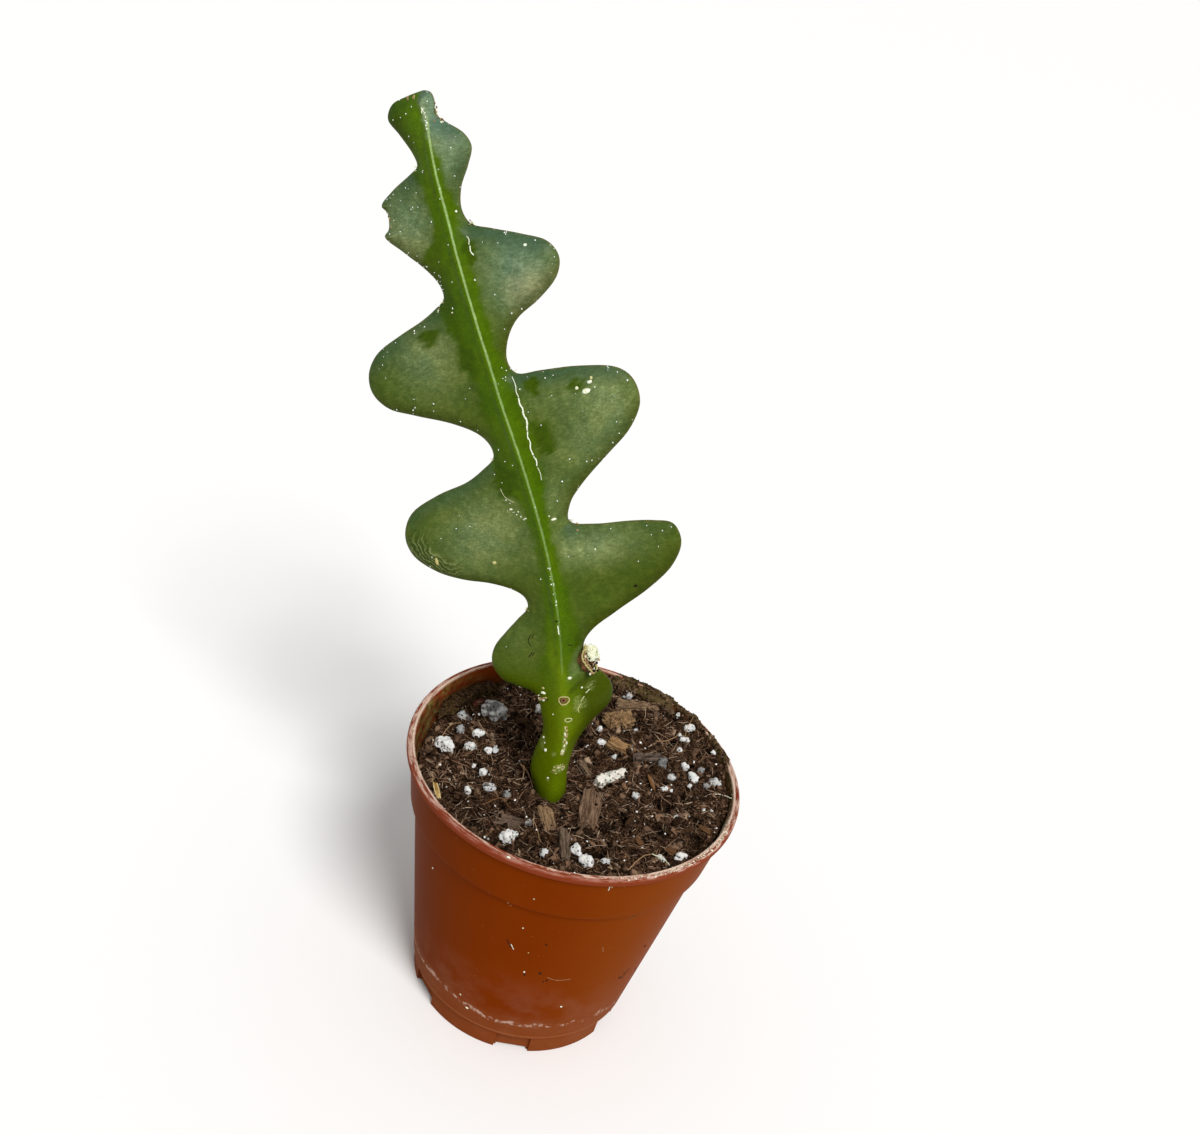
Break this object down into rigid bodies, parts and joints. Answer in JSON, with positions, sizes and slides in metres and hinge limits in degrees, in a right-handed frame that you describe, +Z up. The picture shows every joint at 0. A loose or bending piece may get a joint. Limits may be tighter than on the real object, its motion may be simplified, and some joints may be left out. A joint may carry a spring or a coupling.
{
  "type": "potted fishbone cactus",
  "caption": "Fishbone cactus cutting: one flat, leaning stem with deep rounded lobes on both sides, rooted in peaty soil with perlite and bark in a small tapered plastic pot.",
  "frame": {"origin": "middle of the footprint of the bounding box, on the surface that the pot stands on", "axes": "+Z up; the stem leans towards -X and a little towards +Y, and its front with the sharp midrib faces -Y"},
  "size_m": [0.0924, 0.065, 0.1693],
  "materials": {
    "pot_plastic": "thin translucent orange-brown plastic, satin, scratched and soil-stained, with white lime on the rim and foot",
    "soil": "moist dark peat with fibres and crumbs, matt",
    "stem_skin": "fleshy green skin, waxy and softly glossy, brighter along the midrib and olive brown at the tips of the lobes",
    "perlite": "off-white expanded mineral with pits, matt",
    "bark": "weathered split bark, matt, grey brown to tan",
    "straw": "dry pale straw, matt"
  },
  "bodies": {
    "root": {"pot": "pot_plastic", "soil": "soil", "stem": "stem_skin", "perlite_01": "perlite", "perlite_02": "perlite", "perlite_03": "perlite", "perlite_04": "perlite", "perlite_05": "perlite", "perlite_06": "perlite", "perlite_07": "perlite", "perlite_08": "perlite", "perlite_09": "perlite", "perlite_10": "perlite", "perlite_11": "perlite", "perlite_12": "perlite", "perlite_13": "perlite", "perlite_14": "perlite", "perlite_15": "perlite", "perlite_16": "perlite", "perlite_17": "perlite", "perlite_18": "perlite", "perlite_19": "perlite", "perlite_20": "perlite", "perlite_21": "perlite", "perlite_22": "perlite", "perlite_23": "perlite", "perlite_24": "perlite", "perlite_25": "perlite", "perlite_26": "perlite", "perlite_27": "perlite", "perlite_28": "perlite", "perlite_rod": "perlite", "bark_plate": "bark", "bark_split": "bark", "bark_stick_grey": "bark", "bark_flat": "bark", "bark_sliver": "bark", "bark_lump": "bark", "bark_long": "bark", "bark_dark": "bark", "bark_stick_dark": "bark", "bark_red": "bark", "straw": "straw"}
  },
  "joints": []
}
